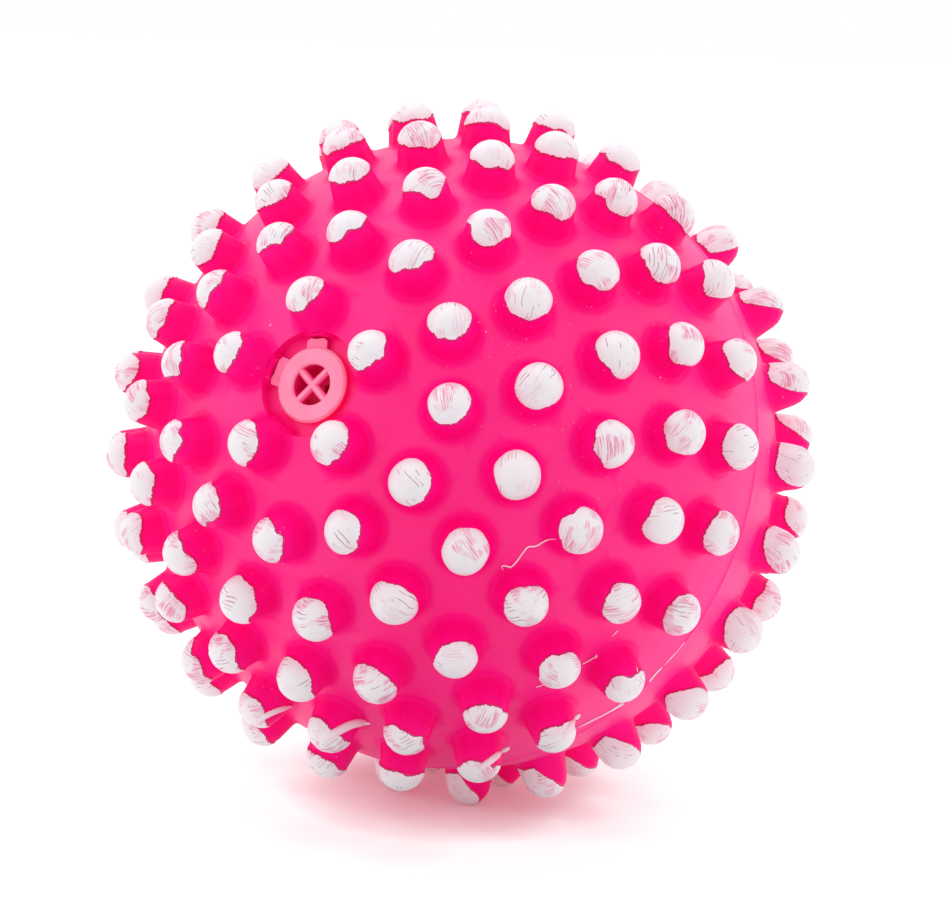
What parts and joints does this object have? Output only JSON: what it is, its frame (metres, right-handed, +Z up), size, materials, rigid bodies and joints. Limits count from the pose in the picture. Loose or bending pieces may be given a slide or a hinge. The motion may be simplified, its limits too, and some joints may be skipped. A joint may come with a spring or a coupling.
{
  "type": "sensory ball",
  "caption": "Soft hollow ball with rows of round-tipped nubs, white painted tips and a reed squeaker in a recess of its wall. It rests on its nubs and squeaks when squeezed.",
  "frame": {"origin": "middle of the ball", "axes": "+Z is up when the ball rests on four of its nubs, -Y is the side seen in front, +X is to the right of it; the squeaker looks to the front left and a little up"},
  "size_m": [0.1005, 0.1004, 0.0997],
  "materials": {
    "vinyl": "soft satin vinyl, hot pink",
    "paint": "brushed white paint, satin",
    "plug": "moulded plastic, light pink",
    "holder": "moulded plastic, dark red",
    "reed": "thin plastic strip"
  },
  "bodies": {
    "ball": {"ball_shell": "vinyl", "paint_tips": "paint", "squeaker_plug": "plug", "reed_holder": "holder", "reed_wedge": "holder"},
    "reed": {"reed_tongue": "reed"}
  },
  "joints": [
    {"name": "reed_beat", "type": "hinge", "parent": "ball", "child": "reed", "pos_m": [-0.01675, -0.03111, 0.01326], "axis": [0.053, 0.3674, 0.9286], "range_deg": [-4, 6], "stiffness_Nm_per_rad": 0.0003}
  ]
}
